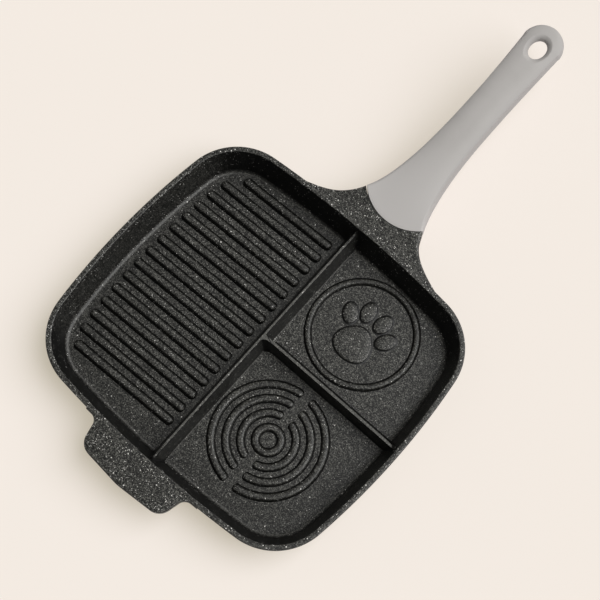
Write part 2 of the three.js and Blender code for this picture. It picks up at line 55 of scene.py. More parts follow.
def addCamera():
    az = radians(viewpoint["azimuth"])
    el = radians(viewpoint["elevation"])
    back = Vector((sin(az) * cos(el), -cos(az) * cos(el), sin(el)))
    level = Vector((cos(az), sin(az), 0))
    right = Matrix.Rotation(radians(viewpoint["roll"]), 3, back) @ level
    up = back.cross(right)
    data = bpy.data.cameras.new("camera")
    data.lens = viewpoint["lens"]
    data.sensor_width = viewpoint["sensor"]
    data.clip_start, data.clip_end = (reach * mm for reach in viewpoint["clip"])
    camera = bpy.data.objects.new("camera", data)
    place = (Vector(viewpoint["target"]) + back * viewpoint["distance"]) * mm
    camera.matrix_world = Matrix.Translation(place) @ Matrix((right, up, back)).transposed().to_4x4()
    scene.collection.objects.link(camera)
    scene.camera = camera
    scene.view_settings.view_transform = "Standard"


addCamera()
print("camera set")

# plan and walls of the pan
panShape = {
    "width": 250.0, "length": 224.8, "height": 25.0,
    "sideBow": 12.0, "endBow": 9.5, "corner": 45.0,
    "floor": 4.5, "wall": 3.6, "wallRun": 7.5,
    "lip": 3.8, "lipHeight": 4.0, "lipRound": 0.9, "lipUnderRound": 1.2,
    "floorFillet": 4.0, "baseRound": 6.0, "capRings": (0.3, 0.6, 0.85),
}
halfWidth = panShape["width"] / 2
halfLength = panShape["length"] / 2
panHeight = panShape["height"]
floorLevel = panShape["floor"]
floorInset = panShape["lip"] + panShape["wallRun"]


def bowRadius(halfChord, bow):
    return (halfChord ** 2 + bow ** 2) / (2 * bow)


sideRadius = bowRadius(halfLength, panShape["sideBow"])
endRadius = bowRadius(halfWidth, panShape["endBow"])
sideCentre = np.array([halfWidth - sideRadius, 0.0])
endCentre = np.array([0.0, halfLength - endRadius])


# the corner arc touches the side arc and the end arc from inside
def findCornerCentre():
    fromSide = sideRadius - panShape["corner"]
    fromEnd = endRadius - panShape["corner"]
    between = endCentre - sideCentre
    distance = np.linalg.norm(between)
    along = (fromSide ** 2 - fromEnd ** 2 + distance ** 2) / (2 * distance)
    across = sqrt(fromSide ** 2 - along ** 2)
    direction = between / distance
    return sideCentre + direction * along + np.array([-direction[1], direction[0]]) * across


cornerCentre = findCornerCentre()


def angleOf(vector):
    return atan2(vector[1], vector[0])


cornerStart = angleOf(cornerCentre - sideCentre)
cornerEnd = angleOf(cornerCentre - endCentre)


def arcPoints(centre, radius, start, end, steps):
    angle = np.linspace(start, end, steps + 1)
    return np.stack([centre[0] + radius * np.cos(angle), centre[1] + radius * np.sin(angle)], 1)


# the pan's outline moved in by inset, anticlockwise from the middle of the +X side
def outlineAt(inset, sideSteps=22, cornerSteps=36):
    quarter = np.concatenate([
        arcPoints(sideCentre, sideRadius - inset, 0, cornerStart, sideSteps),
        arcPoints(cornerCentre, panShape["corner"] - inset, cornerStart, cornerEnd, cornerSteps)[1:],
        arcPoints(endCentre, endRadius - inset, cornerEnd, pi / 2, sideSteps)[1:],
    ])
    half = np.concatenate([quarter, quarter[-2::-1] * (-1, 1)])
    return np.concatenate([half, half[-2:0:-1] * (1, -1)])


def unit(vector):
    return vector / np.linalg.norm(vector)


# a path through corners (x, y, radius), each rounded as far as its sides allow
def roundPath(corners, steps):
    last = len(corners) - 1
    path = []
    for i, corner in enumerate(corners):
        at = np.array(corner[:2], float)
        radius = corner[2] if len(corner) > 2 else 0
        if radius == 0 or i in (0, last):
            path.append(at)
            continue
        before = np.array(corners[i - 1][:2]) - at
        after = np.array(corners[i + 1][:2]) - at
        room = min(np.linalg.norm(before), np.linalg.norm(after)) / 2
        before, after = unit(before), unit(after)
        halfAngle = acos(np.clip(before @ after, -1, 1)) / 2
        fitted = min(radius, room * tan(halfAngle))
        reach = fitted / tan(halfAngle)
        centre = at + unit(before + after) * fitted / sin(halfAngle)
        start = angleOf(at + before * reach - centre)
        sweep = (angleOf(at + after * reach - centre) - start + pi) % (2 * pi) - pi
        path.extend(arcPoints(centre, fitted, start, start + sweep, steps))
    return np.array(path)


def innerInset(z):
    return panShape["lip"] + panShape["wallRun"] * (panHeight - z) / (panHeight - floorLevel)


def outerInset(z):
    return innerInset(z) - panShape["wall"]


# mesh helpers

def ringAngles(points):
    return np.linspace(0, 2 * pi, points, endpoint=False)


def atHeight(outline, z):
    return np.column_stack([outline, np.full(len(outline), z)])


# faces between rings of equal count, with both ends closed to their middles or straight across
def skin(rings, cap="middle"):
    rings = [np.asarray(r, float) for r in rings]
    count = len(rings[0])
    vertices = list(np.concatenate(rings))
    faces = []
    for r in range(len(rings) - 1):
        for i in range(count):
            j = (i + 1) % count
            faces.append((r * count + i, r * count + j, (r + 1) * count + j, (r + 1) * count + i))
    for ring, flip in ((0, True), (len(rings) - 1, False)):
        base = ring * count
        if cap == "middle":
            hub = len(vertices)
            vertices.append(rings[ring].mean(0))
            fan = [(base + i, base + (i + 1) % count, hub) for i in range(count)]
        else:
            fan = [(base + i, base + i + 1, base + count - 2 - i, base + count - 1 - i)
                   for i in range(count // 2 - 1)]
        faces.extend(f[::-1] if flip else f for f in fan)
    return np.array(vertices), faces


def joinParts(parts):
    vertices, faces, base = [], [], 0
    for partVertices, partFaces in parts:
        vertices.append(partVertices)
        faces.extend(tuple(base + i for i in face) for face in partFaces)
        base += len(partVertices)
    return np.concatenate(vertices), faces


def cleanMesh(mesh, sharpAngle=40):
    bm = bmesh.new()
    bm.from_mesh(mesh)
    bmesh.ops.remove_doubles(bm, verts=bm.verts, dist=weldDistance)
    bmesh.ops.dissolve_degenerate(bm, edges=bm.edges, dist=weldDistance)
    bmesh.ops.recalc_face_normals(bm, faces=bm.faces)
    bm.to_mesh(mesh)
    bm.free()
    mesh.shade_smooth()
    mesh.set_sharp_from_angle(angle=radians(sharpAngle))


def newObject(name, vertices, faces):
    mesh = bpy.data.meshes.new(name)
    mesh.from_pydata((np.asarray(vertices) * mm).tolist(), [], faces)
    obj = bpy.data.objects.new(name, mesh)
    scene.collection.objects.link(obj)
    return obj


def dress(obj, material, slot, *nodes, sharpAngle=40):
    cleanMesh(obj.data, sharpAngle)
    obj.data.materials.clear()
    obj.data.materials.append(material)
    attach(obj, "root")
    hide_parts(*nodes)


def castPiece(name, shape, material, sharpAngle=40):
    dress(newObject(name, *shape), material, "pan_coating", "pan_body", sharpAngle=sharpAngle)


# the object with its modifiers applied, as a plain mesh
def bakeModifiers(obj):
    graph = bpy.context.evaluated_depsgraph_get()
    mesh = bpy.data.meshes.new_from_object(obj.evaluated_get(graph))
    obj.modifiers.clear()
    old = obj.data
    obj.data = mesh
    mesh.name = obj.name
    bpy.data.meshes.remove(old)
    return obj


def cutWith(obj, vertices, faces):
    cutter = newObject("cutter", vertices, faces)
    cleanMesh(cutter.data)
    modifier = obj.modifiers.new("cut", "BOOLEAN")
    modifier.operation = "DIFFERENCE"
    modifier.solver = "EXACT"
    modifier.object = cutter
    bakeModifiers(obj)
    bpy.data.objects.remove(cutter)


# materials

# a node with its settings and inputs; an input takes a field, a socket or a plain value
def addNode(tree, kind, inputs=None, **settings):
    node = tree.nodes.new(kind)
    for key, value in settings.items():
        setattr(node, key, value)
    for key, value in (inputs or {}).items():
        source = value.socket if isinstance(value, Field) else value
        if isinstance(source, bpy.types.NodeSocket):
            tree.links.new(source, node.inputs[key])
        else:
            node.inputs[key].default_value = source
    return node


# a node's first output, as a field
def addField(tree, kind, inputs=None, **settings):
    return Field(tree, addNode(tree, kind, inputs, **settings).outputs[0])


# a value in a node tree that takes plain arithmetic
class Field:
    def __init__(self, tree, socket):
        self.tree = tree
        self.socket = socket

    def op(self, operation, *others):
        inputs = dict(enumerate((self, *others)))
        return addField(self.tree, "ShaderNodeMath", inputs, operation=operation)

    __add__ = partialmethod(op, "ADD")
    __sub__ = partialmethod(op, "SUBTRACT")
    __mul__ = partialmethod(op, "MULTIPLY")
    __truediv__ = partialmethod(op, "DIVIDE")
    __pow__ = partialmethod(op, "POWER")

    # 0 below low, 1 above high, eased between
    def ease(self, low, high):
        inputs = {"Value": self, "From Min": low, "From Max": high}
        return addField(self.tree, "ShaderNodeMapRange", inputs, interpolation_type="SMOOTHSTEP")

    # the same between two lengths in millimetres from a base
    def easeLength(self, low, high, base=0.0):
        return self.ease((base + low) * mm, (base + high) * mm)


def newMaterial(name):
    material = bpy.data.materials.new(name)
    material.use_nodes = True
    tree = material.node_tree
    tree.nodes.clear()
    shader = addNode(tree, "ShaderNodeBsdfPrincipled")
    addNode(tree, "ShaderNodeOutputMaterial", {"Surface": shader.outputs["BSDF"]})
    return material, tree, shader, addNode(tree, "ShaderNodeTexCoord").outputs["Object"]


def addNoise(tree, coords, scale, detail=3.0, roughness=0.55):
    inputs = {"Vector": coords, "Scale": scale, "Detail": detail, "Roughness": roughness}
    return addField(tree, "ShaderNodeTexNoise", inputs)


def splitAxes(tree, vector):
    return [Field(tree, output) for output in addNode(tree, "ShaderNodeSeparateXYZ", {0: vector}).outputs]


def facingAxes(tree):
    return splitAxes(tree, addNode(tree, "ShaderNodeTexCoord").outputs["Normal"])


def mixColours(tree, factor, first, second):
    first, second = ((*value, 1) if isinstance(value, tuple) else value for value in (first, second))
    return addNode(tree, "ShaderNodeMix", {0: factor, 6: first, 7: second}, data_type="RGBA").outputs[2]


def paintShader(tree, shader, colour, roughness):
    tree.links.new(colour, shader.inputs["Base Color"])
    tree.links.new(roughness.socket, shader.inputs["Roughness"])


def addBump(tree, shader, height, strength, distance):
    inputs = {"Height": height, "Strength": strength, "Distance": distance * mm}
    node = addNode(tree, "ShaderNodeBump", inputs)
    tree.links.new(node.outputs["Normal"], shader.inputs["Normal"])


# cells of a Voronoi pattern: the distance to a cell's point, and three random values for each cell
def addCells(tree, coords, scale):
    node = addNode(tree, "ShaderNodeTexVoronoi", {"Vector": coords, "Scale": scale}, feature="F1")
    split = addNode(tree, "ShaderNodeSeparateColor", {0: node.outputs["Color"]})
    return [Field(tree, socket) for socket in (node.outputs["Distance"], *split.outputs)]


# dots in a share of the cells: their mask, and a random shade for each
def addFlecks(tree, coords, scale, share, smallest, largest, core=0.55, blend=0.02):
    distance, chance, size, shade = addCells(tree, coords, scale)
    radius = size ** 2 * (largest - smallest) + smallest
    inside = distance.ease(radius, radius * core)
    shown = (chance * -1 + share).ease(0, blend)
    return inside * shown, shade


# each kind of fleck has a scale, a share of cells, a further share on the rim, two sizes and a shade curve
coatingLook = {
    "dark": (0.0055, 0.0054, 0.0048),
    "pale": (0.15, 0.148, 0.132),
    "paintedShade": (0.0016, 0.0016, 0.0014),
    "dimFleckAndHighlight": (0.21, 0.207, 0.19),
    "fleckBright": (0.94, 0.92, 0.87),
    "flecks": ((1150, 0.18, 0.12, (0.16, 0.46), 1.0), (740, 0.028, 0.1, (0.2, 0.44), 0.35)),
    "fleckLoss": 0.6, "rim": (20.5, 24.5),
    "patchScale": 160, "grainScale": 980,
    "gritScale": 1750, "gritCurve": 3, "gritPatch": 0.12, "gritEven": 0.94,
    "paintedWallShade": 0.34, "borderSize": (111.5, 99.0), "borderFade": (0.1, 0.95),
    "borderTop": (11.0, 6.0), "borderSkip": (150.0, 60.0),
    "ridgeHighlight": 0.03, "ridgeFacing": (0.6, 0.9), "ridgeBlend": 0.5,
    "crestHighlight": 0.27, "crestFacing": (0.8, 0.97), "crestBand": (-1.6, -0.9),
    "footHighlight": 0.66, "footFacing": (0.3, 0.1), "footStart": (0.15, 0.35), "footEnd": (1.15, 0.65),
    "endFade": (97.0, 90.0),
    "bendHighlight": 0.13, "bendFacing": ((0.99, 0.97), (0.82, 0.92)),
    "steepShade": 0.6, "steepFacing": (0.88, 0.4),
    "acrossShade": 0.36, "acrossFacing": (0.25, 0.65),
    "dividerShade": 1.22, "crossShade": 0.75, "crossFacing": (0.04, 0.22),
    "shadeTop": 0.8, "shadeFoot": 0.12, "ridgeFootShade": 0.96,
    "roughness": 0.23, "roughPatch": 0.16, "roughGrain": 0.1, "smoothFleck": 0.12, "gloss": 0.3,
    "bump": (0.25, 0.12), "bumpGrain": 0.5, "bumpBig": 0.5, "bumpFine": 0.3,
}


# with a foot height, painted shade darkens the foot of each ridge up to that height; with crestTop, painted
# highlights light a crest at that height
def stoneCoating(name, shadeTop=None, crestTop=None):
    look = coatingLook
    material, tree, shader, coords = newMaterial(name)
    shader.inputs["Specular IOR Level"].default_value = look["gloss"]
    placeX, placeY, height = splitAxes(tree, coords)
    _, facingY, facingZ = facingAxes(tree)
    level, across, lengthways = (field.op("ABSOLUTE") for field in (facingZ, facingY, placeY))
    patches = addNoise(tree, coords, look["patchScale"], detail=4.0)
    grain = addNoise(tree, coords, look["grainScale"], detail=1.0, roughness=0.7)
    patchy = patches * look["gritPatch"] + look["gritEven"]
    grit = addCells(tree, coords, look["gritScale"])[1] ** look["gritCurve"] * patchy
    ground = mixColours(tree, grit, look["dark"], look["pale"])
    # painted shade: the floor is darkened towards the foot of the walls, least in the corner beside the grip
    borderX, borderY = (size * mm for size in look["borderSize"])
    border = (placeX.op("ABSOLUTE") / borderX) ** 4 + (lengthways / borderY) ** 4
    border = border.ease(*look["borderFade"]) * height.easeLength(*look["borderTop"])
    border = border * (placeX + placeY).easeLength(*look["borderSkip"])
    ground = mixColours(tree, border * look["paintedWallShade"], ground, look["dark"])
    # painted highlights: ridge tops, divider crests and feet, and gentle bends are lightened
    if shadeTop:
        top = height.easeLength(0, look["ridgeBlend"], shadeTop)
        lift = top * level.ease(*look["ridgeFacing"]) * look["ridgeHighlight"]
    elif crestTop:
        crest = height.easeLength(*look["crestBand"], crestTop) * level.ease(*look["crestFacing"])
        start, end = (height.easeLength(*look[key], floorLevel) for key in ("footStart", "footEnd"))
        foot = start * end * across.ease(*look["footFacing"])
        lift = crest * look["crestHighlight"] + foot * look["footHighlight"]
        lift = lift * lengthways.easeLength(*look["endFade"])
    else:
        upper, lower = (level.ease(*span) for span in look["bendFacing"])
        lift = upper * lower * look["bendHighlight"]
    ground = mixColours(tree, lift, ground, look["dimFleckAndHighlight"])
    # painted shade: steep faces are darkened, most of all faces across the pan
    steep = level.ease(*look["steepFacing"]) * look["steepShade"]
    steep = steep + across.ease(*look["acrossFacing"]) * look["acrossShade"]
    if crestTop:
        # painted shade: the dividers' steep faces darker still, and faces turned towards +Y darkened into a
        # dark line
        steep = steep * look["dividerShade"] + facingY.ease(*look["crossFacing"]) * look["crossShade"]
    colour = mixColours(tree, steep, ground, look["paintedShade"])
    rim = height.easeLength(*look["rim"])
    # flecks fade where steep faces are painted dark
    thin = steep * -look["fleckLoss"] + 1
    masks = []
    for scale, share, rimShare, sizes, curve in look["flecks"]:
        mask, shade = addFlecks(tree, coords, scale, rim * rimShare + share, *sizes)
        tint = mixColours(tree, shade ** curve, look["dimFleckAndHighlight"], look["fleckBright"])
        colour = mixColours(tree, mask * thin, colour, tint)
        masks.append(mask)
    fine, big = masks
    # painted shade round the foot of each ridge
    if shadeTop:
        depth = height.easeLength(shadeTop, floorLevel + look["shadeFoot"])
        colour = mixColours(tree, depth * look["ridgeFootShade"], colour, look["paintedShade"])
    roughness = patches * look["roughPatch"] + grain * look["roughGrain"] + look["roughness"]
    paintShader(tree, shader, colour, roughness - big * look["smoothFleck"])
    relief = grain * look["bumpGrain"] + big * look["bumpBig"] + fine * look["bumpFine"]
    addBump(tree, shader, relief, *look["bump"])
    return material


# coarse and fine noise in a look's own shares, eased
def mottled(look, coarse, fine):
    coarseShare, fineShare = look["mottle"]
    return (coarse * coarseShare + fine * fineShare).ease(*look["mottleFade"])


gripLook = {
    "light": (0.447, 0.427, 0.408),
    "shade": (0.421, 0.402, 0.383),
    "side": (0.368, 0.351, 0.336),
    "sideFacing": (0.08, 0.5), "sideFade": (100.0, 170.0),
    "joint": (0.472, 0.452, 0.434),
    "jointFade": (210.0, 150.0),
    "cloudScale": 55, "grainScale": 3200, "mottle": (0.8, 0.2), "mottleFade": (0.3, 0.7),
    "roughness": 0.5, "roughNoise": 0.08, "bump": (0.12, 0.06),
}


def softTouch():
    look = gripLook
    material, tree, shader, coords = newMaterial("grip_soft_touch")
    clouds = addNoise(tree, coords, look["cloudScale"])
    grain = addNoise(tree, coords, look["grainScale"], detail=2.0)
    colour = mixColours(tree, mottled(look, clouds, grain), look["shade"], look["light"])
    facingX = facingAxes(tree)[0]
    placeY = splitAxes(tree, coords)[1]
    colour = mixColours(tree, placeY.easeLength(*look["jointFade"]), colour, look["joint"])
    # painted shade: faces turned to +X are darker along the far part of the grip
    side = facingX.ease(*look["sideFacing"]) * placeY.easeLength(*look["sideFade"])
    colour = mixColours(tree, side, colour, look["side"])
    uneven = clouds * look["roughNoise"] + grain * look["roughNoise"]
    paintShader(tree, shader, colour, uneven + look["roughness"])
    addBump(tree, shader, grain, *look["bump"])
    return material


metalLook = {"stainScale": 300, "roughScratch": 0.2, "roughStain": 0.1, "bump": (0.15, 0.03)}


def turnedMetal(name, light, shade, roughness, ringScale):
    look = metalLook
    material, tree, shader, coords = newMaterial(name)
    shader.inputs["Metallic"].default_value = 1.0
    scratches = addNoise(tree, coords, ringScale, detail=4.0, roughness=0.7)
    stains = addNoise(tree, coords, look["stainScale"], detail=2.0)
    colour = mixColours(tree, (scratches + stains) * 0.5, shade, light)
    uneven = scratches * look["roughScratch"] + stains * look["roughStain"]
    paintShader(tree, shader, colour, uneven + roughness)
    addBump(tree, shader, scratches, *look["bump"])
    return material


coating = stoneCoating("pan_coating")
ridgeCoating = stoneCoating("ridge_coating", shadeTop=floorLevel + coatingLook["shadeTop"])
gripFinish = softTouch()
screwSteel = turnedMetal("screw_steel", (0.62, 0.63, 0.64), (0.42, 0.43, 0.44), 0.17, 2400)
washerSteel = turnedMetal("washer_steel", (0.5, 0.5, 0.51), (0.33, 0.33, 0.34), 0.25, 1800)
insertBrass = turnedMetal("insert_brass", (0.72, 0.55, 0.26), (0.5, 0.36, 0.15), 0.2, 1800)
print("materials made")

# pan shell: one profile carried round the outline, from the underside over the lip to the floor
roundSteps = 8
flatMargin = 2
lipUnder = panHeight - panShape["lipHeight"]
shellPath = roundPath([
    (outerInset(0) + panShape["baseRound"] + flatMargin, 0),
    (outerInset(0), 0, panShape["baseRound"]),
    (outerInset(lipUnder), lipUnder, panShape["lipUnderRound"]),
    (0, lipUnder + panShape["lipUnderRound"], panShape["lipRound"]),
    (0, panHeight, panShape["lipRound"]),
    (panShape["lip"], panHeight, panShape["lipRound"]),
    (floorInset, floorLevel, panShape["floorFillet"]),
    (floorInset + panShape["floorFillet"] + flatMargin, floorLevel),
], roundSteps)
lipTop = int(np.argmax(shellPath[:, 1]))
innerPath = shellPath[lipTop:]


# the height of the floor and walls inside the pan, good near the middle of each side
def wallHeight(x, y):
    ax, ay = np.abs(x), np.abs(y)
    fromSide = sideRadius - np.hypot(ax - sideCentre[0], ay)
    fromEnd = endRadius - np.hypot(ax, ay - endCentre[1])
    return np.interp(np.minimum(fromSide, fromEnd), innerPath[:, 0], innerPath[:, 1])


def makePanShell():
    underside = atHeight(outlineAt(shellPath[0, 0]), 0)
    floor = atHeight(outlineAt(shellPath[-1, 0]), floorLevel)
    shrink = [np.array([k, k, 1]) for k in panShape["capRings"]]
    rings = [underside * k for k in shrink]
    rings += [atHeight(outlineAt(inset), z) for inset, z in shellPath]
    rings += [floor * k for k in shrink[::-1]]
    castPiece("pan_shell", skin(rings), coating)


makePanShell()
print("pan shell made")

# dividers: one height surface over a T, with fillets where it meets the floor and the walls
dividerShape = {
    "turn": 0.9, "mainX": 0.5, "mainFoot": 9.4, "mainCrest": 1.8, "mainDrop": 5.0, "mainRound": 1.6,
    "crossY": 8.2, "crossFoot": 6.2, "crossCrest": 2.4, "crossDrop": 5.8, "crossRound": 2.6,
    "footFillet": 3.4, "endFillet": 8.0,
    "cornerBlend": 34.0, "cornerFade": (-1.2, 1.2),
    "backFillet": 17.5, "backAcross": (0, 1, 6, 8), "backAlong": (5, 8),
    "spread": 9.5, "leanFade": (12, 60), "tuck": 0.03, "under": 1.0,
    "coarse": 2.0, "fine": 0.4, "endRows": (78, 92, 107.6),
    "middleRows": ((-76, -3), (20, 77)), "crossColumns": (12, 96, 121),
    "lineBands": ((0, 1.6, 0.16), (1.6, 6, 0.22)), "outerLines": 9,
}


def smoothMax(a, b, k):
    h = np.maximum(k - np.abs(a - b), 0) / k
    return np.maximum(a, b) + h * h * k / 4


def dividerHeight(t, foot, crest, drop, rounding):
    top = panHeight - drop
    slope = (top - floorLevel) / (foot / 2 - crest / 2)
    flank = top - (np.abs(t) - crest / 2) * slope
    return -smoothMax(-flank, np.full_like(flank, -top), rounding)


# how far the main divider leans towards -X for each mm along +Y
dividerLean = tan(radians(dividerShape["turn"]))


# grid lines that crowd at the middle of a divider, and lines along one that crowd at the wall
def acrossLines():
    bands = dividerShape["lineBands"]
    outer = np.linspace(bands[-1][1], dividerShape["spread"], dividerShape["outerLines"])
    half = np.concatenate([*(np.arange(*band) for band in bands), outer])
    return np.concatenate([-half[:0:-1], half])


def wallLines(start, wall, end):
    coarse, fine = dividerShape["coarse"], dividerShape["fine"]
    return np.concatenate([np.arange(start, wall, coarse), np.arange(wall, end, fine)])


def gridLines(*parts):
    return np.unique(np.round(np.concatenate(parts), 4))


# the dividers' top over the floor and walls: fillets widen up the walls and behind the cross divider, where the
# wide fillet carries a line of painted shade
def dividerTop(u, y, base):
    d = dividerShape
    crest = panHeight - d["mainDrop"]
    along, across = u - d["mainX"], y - d["crossY"]
    main = dividerHeight(along, d["mainFoot"], d["mainCrest"], d["mainDrop"], d["mainRound"])
    cross = dividerHeight(across, d["crossFoot"], d["crossCrest"], d["crossDrop"], d["crossRound"])
    corner = np.interp(across, d["cornerFade"], (d["cornerBlend"], d["footFillet"]))
    joined = np.minimum(smoothMax(main, cross, corner), crest)
    ridge = np.where(along < 0, main, joined)
    climb = np.clip((base - floorLevel) / (crest - floorLevel), 0, 1)
    behind = np.interp(across, d["backAcross"], (0, 1, 1, 0)) * np.interp(along, d["backAlong"], (0, 1))
    fillet = d["footFillet"] + (d["backFillet"] - d["footFillet"]) * behind
    top = smoothMax(base, ridge, fillet + (d["endFillet"] - fillet) * climb)
    return np.minimum(top, panHeight - d["tuck"])


def makeDividers():
    d = dividerShape
    across = acrossLines()
    ends = wallLines(*d["endRows"])
    middle = [np.arange(start, end, d["coarse"]) for start, end in d["middleRows"]]
    ys = gridLines(-ends, *middle, d["crossY"] + across, ends)
    xs = gridLines(d["mainX"] + across, wallLines(*d["crossColumns"]))
    u, y = np.meshgrid(xs, ys, indexing="ij")
    x = u - dividerLean * y * np.interp(u, d["leanFade"], (1, 0))
    base = wallHeight(x, y) - d["tuck"]
    levels = (dividerTop(u, y, base), base - d["under"])
    reach = d["spread"] + 1e-6
    kept = (np.abs(u - d["mainX"]) <= reach) | ((np.abs(y - d["crossY"]) <= reach) & (u >= d["mainX"]))
    count = x.size
    index = np.arange(count).reshape(x.shape)
    vertices = np.concatenate([np.stack([x, y, z], -1).reshape(-1, 3) for z in levels])
    cells = kept[:-1, :-1] & kept[1:, :-1] & kept[:-1, 1:] & kept[1:, 1:]
    faces, edges = [], {}
    for i, j in zip(*np.nonzero(cells)):
        quad = (index[i, j], index[i + 1, j], index[i + 1, j + 1], index[i, j + 1])
        faces += [quad, tuple(k + count for k in quad[::-1])]
        # an edge that two cells share isn't on the border
        for a, b in zip(quad, quad[1:] + quad[:1]):
            if edges.pop((b, a), None) is None:
                edges[(a, b)] = True
    faces.extend((b, a, a + count, b + count) for a, b in edges)
    used = sorted({k for face in faces for k in face})
    renumber = {k: n for n, k in enumerate(used)}
    faces = [tuple(renumber[k] for k in face) for face in faces]
    crestCoating = stoneCoating("crest_coating", crestTop=panHeight - d["mainDrop"])
    castPiece("dividers", (vertices[used], faces), crestCoating, sharpAngle=60)


makeDividers()
print("dividers made")

# ridges swept by geometry nodes: rows of ribs and sets of rings share one section
ridgeShape = {
    "along": 72, "around": 28,
    "sideCurve": 0.62, "topCurve": 0.8,
    "sink": 0.7, "sinkSlope": 3, "shadeSkirt": 1.05, "shadeSkirtCurve": 9.0,
    "weld": 0.001,
}


def newTree(name, inputs):
    tree = bpy.data.node_groups.new(name, "GeometryNodeTree")
    inputs = [("Geometry", "Geometry"), *inputs]
    for label, kind, way in (*((*pair, "INPUT") for pair in inputs), ("Geometry", "Geometry", "OUTPUT")):
        tree.interface.new_socket(label, in_out=way, socket_type="NodeSocket" + kind)
    return tree, addNode(tree, "NodeGroupInput").outputs


def storeAttribute(tree, geometry, label, value):
    inputs = {"Geometry": geometry, "Name": label, "Value": value}
    return addField(tree, "GeometryNodeStoreNamedAttribute", inputs, data_type="FLOAT", domain="POINT")


def addCopies(tree, **inputs):
    copies = addField(tree, "GeometryNodeInstanceOnPoints", inputs)
    return addField(tree, "GeometryNodeRealizeInstances", {"Geometry": copies})


# a grid of along by around, once for each copy, with its place kept in named attributes
def addStrips(tree, copies):
    sizes = {"Vertices X": ridgeShape["along"], "Vertices Y": ridgeShape["around"] + 1}
    strip = addField(tree, "GeometryNodeMeshGrid", sizes)
    place = addField(tree, "GeometryNodeInputPosition")
    for label, field in zip(("along", "around"), splitAxes(tree, place)):
        strip = storeAttribute(tree, strip, label, field + 0.5)
    line = addField(tree, "GeometryNodeMeshLine", {"Count": copies})
    index = addField(tree, "GeometryNodeInputIndex")
    return addCopies(tree, Points=storeAttribute(tree, line, "row", index), Instance=strip)


# sideways and upward places in the ridge's section, with ends drawn in by taper
def ridgeSection(size, around, taper):
    turn = around * (2 * pi)
    c, s = turn.op("COSINE"), turn.op("SINE")
    lift = s.op("MAXIMUM", 0.0) ** ridgeShape["topCurve"]
    # the foot spreads into a thin skirt on the floor, which the ridge coating paints dark as shade round each
    # ridge
    shadeSkirt = (lift * -1 + 1) ** ridgeShape["shadeSkirtCurve"] * (ridgeShape["shadeSkirt"] * mm)
    half = c.op("ABSOLUTE") ** ridgeShape["sideCurve"] * size["Width"] * 0.5 + shadeSkirt
    sideways = c.op("SIGN") * half * taper
    rise = lift * size["Height"] * taper
    fall = (s * ridgeShape["sinkSlope"]).op("MINIMUM", 0.0).op("MAXIMUM", -1.0) * (ridgeShape["sink"] * mm)
    return sideways, size["Floor"] + rise + fall


def endTaper(reach, width):
    short = (reach / width * -2 + 1).op("MAXIMUM", 0.0)
    return (short * short * -1 + 1).op("MAXIMUM", 0.0).op("SQRT")


# steps that crowd at both ends
def crowdEnds(along):
    return (along * pi).op("COSINE") * -0.5 + 0.5


def finishTree(tree, geometry, material):
    painted = addField(tree, "GeometryNodeSetMaterial", {"Geometry": geometry, "Material": material})
    addNode(tree, "NodeGroupOutput", {"Geometry": painted})


# runs a tree on an object, with its inputs set by their sockets' identifiers
def runTree(obj, tree, values):
    modifier = obj.modifiers.new("tree", "NODES")
    modifier.node_group = tree
    for item in tree.interface.items_tree:
        if item.in_out == "INPUT" and item.name in values:
            modifier[item.identifier] = values[item.name]
    bakeModifiers(obj)


# strips moved to the places that shape works out from the sizes, which are the tree's inputs
def growRidges(name, count, shape, factors, lengths):
    sizes = {**factors, **{label: length * mm for label, length in lengths.items()}}
    tree, inputs = newTree(name, [("Count", "Int"), *((label, "Float") for label in sizes)])
    strips = addStrips(tree, inputs["Count"])
    kind = "GeometryNodeInputNamedAttribute"
    spot = (addField(tree, kind, {"Name": label}, data_type="FLOAT") for label in ("along", "around", "row"))
    x, y, z = shape({label: Field(tree, inputs[label]) for label in sizes}, *spot)
    place = addField(tree, "ShaderNodeCombineXYZ", {"X": x, "Y": y, "Z": z})
    moved = addField(tree, "GeometryNodeSetPosition", {"Geometry": strips, "Position": place})
    weld = {"Geometry": moved, "Distance": ridgeShape["weld"] * mm}
    finishTree(tree, addField(tree, "GeometryNodeMergeByDistance", weld), ridgeCoating)
    ridges = newObject(name, np.zeros((1, 3)), [])
    runTree(ridges, tree, {"Count": count, **sizes})
    dress(ridges, ridgeCoating, "pan_coating", "pan_body", sharpAngle=75)


# rows of ribs, turned as a set, whose left ends follow the pan's outline
def ribRows(size, along, around, row):
    rowY = size["First Row"] + row * size["Pitch"]
    leftY = rowY + (size["Left X"] - size["Turn X"]) * size["Row Turn"]
    past = (leftY.op("ABSOLUTE") - size["Corner Y"]).op("MAXIMUM", 0.0)
    sideReach = size["Side Centre"] + (size["Side Radius"] ** 2 - leftY * leftY).op("SQRT")
    cornerReach = size["Corner X"] + (size["Corner Radius"] ** 2 - past * past).op("MAXIMUM", 0.0).op("SQRT")
    left = (sideReach + (cornerReach - sideReach) * past.op("GREATER_THAN", 0.0)) * -1
    right = size["Right End"] - rowY * size["Right Lean"]
    x = left + (right - left) * crowdEnds(along)
    reach = (x - left).op("MINIMUM", right - x)
    taper = endTaper(reach, size["Width"])
    sideways, z = ridgeSection(size, around, taper)
    return x, rowY + (x - size["Turn X"]) * size["Row Turn"] + sideways, z


